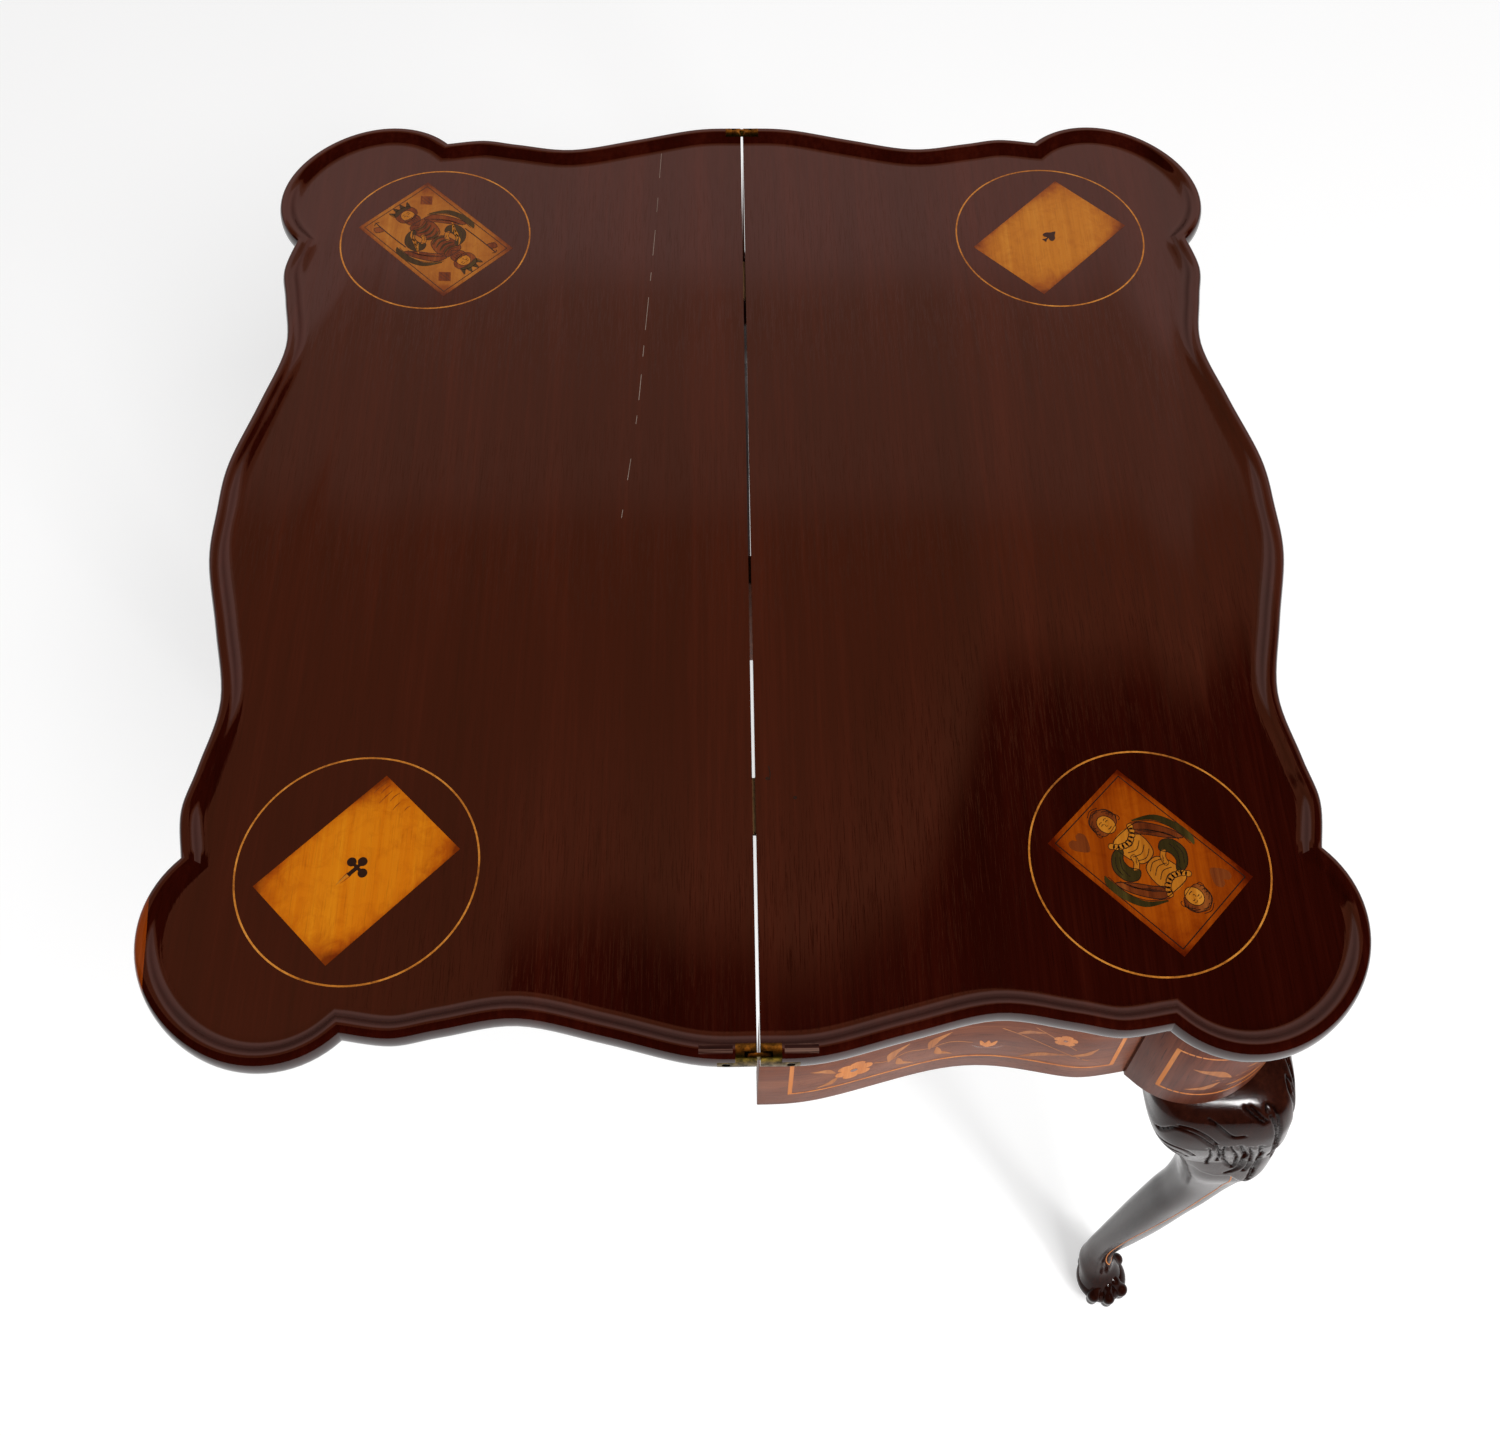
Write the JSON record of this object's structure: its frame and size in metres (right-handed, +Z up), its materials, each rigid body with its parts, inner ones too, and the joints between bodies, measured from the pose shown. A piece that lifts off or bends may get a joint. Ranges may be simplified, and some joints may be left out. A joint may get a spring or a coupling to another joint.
{
  "type": "flip-top card table",
  "caption": "Marquetry card table with cabriole legs, a top that flips open on end hinges and a gate leg that holds it up.",
  "frame": {"origin": "on the floor, under the middle of the joint between the two leaves", "axes": "+X runs along the joint to the table's right as it is seen from the front, +Y points from the front of the table towards the open flip leaf, and +Z points up"},
  "size_m": [0.8066, 0.776, 0.78],
  "materials": {
    "mahogany": "french polished dark mahogany",
    "frame_wood": "polished mahogany veneer with floral marquetry",
    "secondary_wood": "plain unpolished oak",
    "satinwood": "polished satinwood inlay",
    "boxwood": "polished boxwood stringing",
    "ebony": "polished black stained inlay",
    "brass": "aged brass",
    "steel": "darkened steel"
  },
  "bodies": {
    "frame": {"fixed_leaf": "mahogany", "card_spades": "satinwood", "ring_spades": "boxwood", "pip_spades": "ebony", "card_hearts": "satinwood", "ring_hearts": "boxwood", "hinge_plate_fixed_left": "brass", "hinge_plate_fixed_right": "brass", "hinge_pin_fixed_left": "brass", "hinge_pin_fixed_right": "brass", "hinge_screw_fixed_left": "steel", "hinge_screw_fixed_right": "steel", "front_rail": "frame_wood", "end_rail_left": "frame_wood", "end_rail_right": "frame_wood", "front_leg_left": "mahogany", "front_leg_right": "mahogany", "back_rail": "secondary_wood", "knuckle_rail": "frame_wood", "back_leg": "mahogany", "knuckle_pin": "steel", "medial_brace": "secondary_wood", "glue_block_front_left": "secondary_wood", "glue_block_front_right": "secondary_wood", "glue_block_end_left": "secondary_wood", "glue_block_end_right": "secondary_wood", "glue_block_back_left": "secondary_wood", "glue_block_back_right": "secondary_wood"},
    "hinge_links": {"hinge_link_left": "brass", "hinge_link_right": "brass"},
    "open_leaf": {"flip_leaf": "mahogany", "card_clubs": "satinwood", "ring_clubs": "boxwood", "pip_clubs": "ebony", "card_diamonds": "satinwood", "ring_diamonds": "boxwood", "hinge_plate_flip_left": "brass", "hinge_plate_flip_right": "brass", "hinge_pin_flip_left": "brass", "hinge_pin_flip_right": "brass", "hinge_screw_flip_left": "steel", "hinge_screw_flip_right": "steel", "tongue_left": "secondary_wood", "tongue_right": "secondary_wood"},
    "gate": {"fly_rail": "frame_wood", "fly_leg": "mahogany"}
  },
  "joints": [
    {"name": "link_fold", "type": "hinge", "parent": "frame", "child": "hinge_links", "pos_m": [0, -0.0047, 0.77545], "axis": [1, 0, 0], "range_deg": [0, 90]},
    {"name": "leaf_fold", "type": "hinge", "parent": "hinge_links", "child": "open_leaf", "pos_m": [0, 0.0047, 0.77545], "axis": [1, 0, 0], "range_deg": [0, 90]},
    {"name": "gate_swing", "type": "hinge", "parent": "frame", "child": "gate", "pos_m": [-0.041, -0.0155, 0.65], "axis": [0, 0, 1], "range_deg": [0, 90]}
  ]
}
